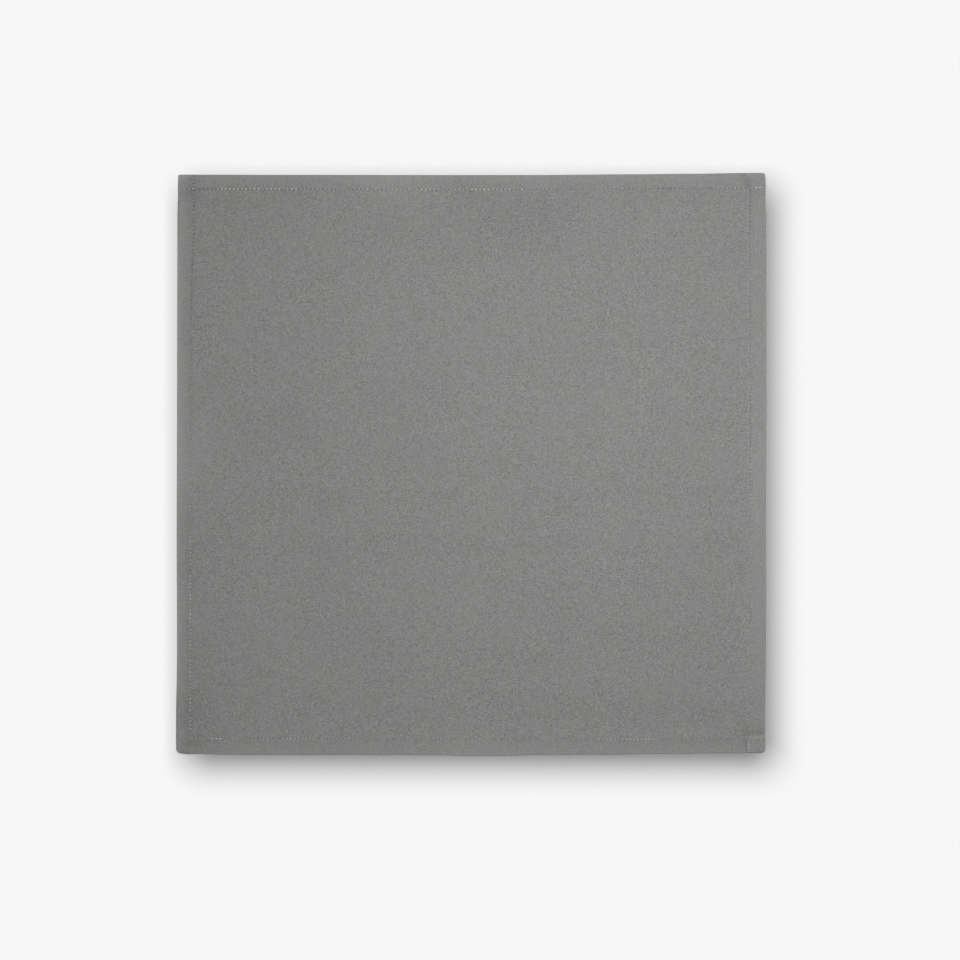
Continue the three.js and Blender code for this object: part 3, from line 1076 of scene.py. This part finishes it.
class NAPKIN_OT_set_stage(bpy.types.Operator):
    """Lay the floor, hang the lights and set up the camera straight above"""

    bl_idname = "napkin.set_stage"
    bl_label = "Set the Stage"

    def execute(self, context):
        stage = context.scene.napkin_stage
        floor = add_floor(stage)
        flag = add_flag(context.scene.napkin_cloth)
        cloth_pieces = [bpy.data.objects[name] for name in ("napkin_cloth", "hem_stitching")]
        light_floor(floor, flag, cloth_pieces)
        light_cloth(stage, cloth_pieces)
        set_backdrop(stage)
        add_camera(stage)
        context.scene.view_settings.view_transform = "Standard"
        return {"FINISHED"}


# Shadow that the photograph's soft light throws on the floor
FLAG_HEIGHT = 40 * MM
SHADOW_SHIFT = (6.7 * MM, -9.3 * MM)
SHADOW_SOFTNESS = 53.0
SHADOW_SHARE = 0.88
FLOOR_LIGHT = 3.56
FLOOR_HALF_SIZE = 12.0


def add_rectangle(name, half_x, half_y, height):
    """A level rectangle over the middle of the cloth."""
    mesh = bpy.data.meshes.new(name)
    corners = [(-half_x, -half_y), (half_x, -half_y), (half_x, half_y), (-half_x, half_y)]
    mesh.from_pydata([(x, y, height) for x, y in corners], [], [(0, 1, 2, 3)])
    piece = bpy.data.objects.new(name, mesh)
    bpy.context.scene.collection.objects.link(piece)
    return piece


def add_floor(stage):
    """A plain pale floor that the cloth lies on."""
    floor = add_rectangle("floor", FLOOR_HALF_SIZE, FLOOR_HALF_SIZE, 0)
    s = Shading("pale_floor")
    s.set_surface({"Base Color": (*stage.floor_colour, 1), "Roughness": 1.0, "Specular IOR Level": 0.0})
    floor.data.materials.append(s.material)
    return floor


def add_flag(cloth):
    """An unseen flag the size of the cloth, which keeps part of the floor's light off the floor."""
    flag = add_rectangle("light_flag", cloth.width / 2, cloth.length / 2, FLAG_HEIGHT)
    for kind in ("camera", "diffuse", "glossy", "transmission", "volume_scatter"):
        setattr(flag, f"visible_{kind}", False)
    return flag


def add_light(name, kind, place, aim, strength, receivers, blockers, **settings):
    """A light that shines on some objects only, with only some of them in its way."""
    lamp = bpy.data.lights.new(name, kind)
    lamp.energy = strength
    for setting, value in settings.items():
        setattr(lamp, setting, value)
    light = bpy.data.objects.new(name, lamp)
    light.location = place
    light.rotation_euler = (Vector(aim) - Vector(place)).to_track_quat("-Z", "Y").to_euler()
    bpy.context.scene.collection.objects.link(light)
    for role, objects in (("receiver", receivers), ("blocker", blockers)):
        group = bpy.data.collections.new(f"{name}_{role}s")
        for piece in objects:
            group.objects.link(piece)
        setattr(light.light_linking, f"{role}_collection", group)
    return light


def light_floor(floor, flag, pieces):
    """Even light on the floor: most of it from a soft sun that the flag shades, the rest from above."""
    toward = Vector((-SHADOW_SHIFT[0], -SHADOW_SHIFT[1], FLAG_HEIGHT))
    soft = FLOOR_LIGHT * SHADOW_SHARE / toward.normalized().z
    angle = math.radians(SHADOW_SOFTNESS)
    for name, place, strength, blockers in (
        ("floor_soft_sun", toward, soft, [flag, *pieces]),
        ("floor_sun", (0, 0, 1), FLOOR_LIGHT * (1 - SHADOW_SHARE), pieces),
    ):
        add_light(name, "SUN", place, (0, 0, 0), strength, [floor], blockers, angle=angle)


# Where the cloth's lights hang, how wide the key and the fill look, and the softbox's size
KEY_FROM = (-0.57, 0.61, 1.0)
FILL_FROM = (0.7, -0.75, 0.4)
KEY_SOFTNESS = 24.0
SOFTBOX_PLACE = (0.18, 0.12, 0.55)
SOFTBOX_SIZE = 0.2


def light_cloth(stage, pieces):
    """A key light from the top left, which shows the relief, a weak low fill from the bottom right and a
    softbox over the right half."""
    angle = math.radians(KEY_SOFTNESS)
    for name, kind, place, strength, settings in (
        ("cloth_key", "SUN", KEY_FROM, stage.key_strength, {"angle": angle}),
        ("cloth_fill", "SUN", FILL_FROM, stage.fill_strength, {"angle": angle}),
        ("cloth_softbox", "AREA", SOFTBOX_PLACE, stage.softbox_power, {"size": SOFTBOX_SIZE}),
    ):
        add_light(name, kind, place, (0, 0, 0), strength, pieces, pieces, **settings)


def set_backdrop(stage):
    """A pale backdrop that is seen past the floor and adds no light."""
    world = bpy.data.worlds.new("backdrop")
    world.use_nodes = True
    nodes, links = world.node_tree.nodes, world.node_tree.links
    ray = nodes.new("ShaderNodeLightPath")
    background = nodes["Background"]
    background.inputs["Color"].default_value = (*stage.backdrop, 1)
    links.new(ray.outputs["Is Camera Ray"], background.inputs["Strength"])
    bpy.context.scene.world = world


# Middle of the photograph's frame, measured from the middle of the cloth
VIEW_MIDDLE = (6.73 * MM, -11.84 * MM)
CAMERA_HEIGHT = 2.6
SENSOR = 36.0


def add_camera(stage):
    """A long lens straight above, which takes in the photograph's frame."""
    lens = bpy.data.cameras.new("camera")
    lens.sensor_width = SENSOR
    lens.lens = SENSOR * CAMERA_HEIGHT / stage.view_width
    camera = bpy.data.objects.new("camera", lens)
    camera.location = (*VIEW_MIDDLE, CAMERA_HEIGHT)
    bpy.context.scene.collection.objects.link(camera)
    bpy.context.scene.camera = camera


class VIEW3D_PT_napkin(bpy.types.Panel):
    """Sizes, colours and steps of the napkin"""

    bl_label = "Napkin"
    bl_space_type = "VIEW_3D"
    bl_region_type = "UI"
    bl_category = "Napkin"

    def draw(self, context):
        scene = context.scene
        for settings, operator in (
            (scene.napkin_cloth, NAPKIN_OT_cut_and_hem),
            (scene.napkin_thread, NAPKIN_OT_stitch_hems),
            (scene.napkin_stage, NAPKIN_OT_set_stage),
        ):
            box = self.layout.box()
            for name in settings.__annotations__:
                box.prop(settings, name)
            box.operator(operator.bl_idname)


CLASSES = (
    NapkinCloth,
    NapkinThread,
    NapkinStage,
    NAPKIN_OT_cut_and_hem,
    NAPKIN_OT_stitch_hems,
    NAPKIN_OT_set_stage,
    VIEW3D_PT_napkin,
)


def register():
    for cls in CLASSES:
        bpy.utils.register_class(cls)
    bpy.types.Scene.napkin_cloth = PointerProperty(type=NapkinCloth)
    bpy.types.Scene.napkin_thread = PointerProperty(type=NapkinThread)
    bpy.types.Scene.napkin_stage = PointerProperty(type=NapkinStage)


def unregister():
    del bpy.types.Scene.napkin_stage
    del bpy.types.Scene.napkin_thread
    del bpy.types.Scene.napkin_cloth
    for cls in reversed(CLASSES):
        bpy.utils.unregister_class(cls)


def main():
    """Makes the napkin and its stage."""
    register()
    bpy.ops.napkin.cut_and_hem()
    bpy.ops.napkin.stitch_hems()
    bpy.ops.napkin.set_stage()


if __name__ == "__main__":
    main()
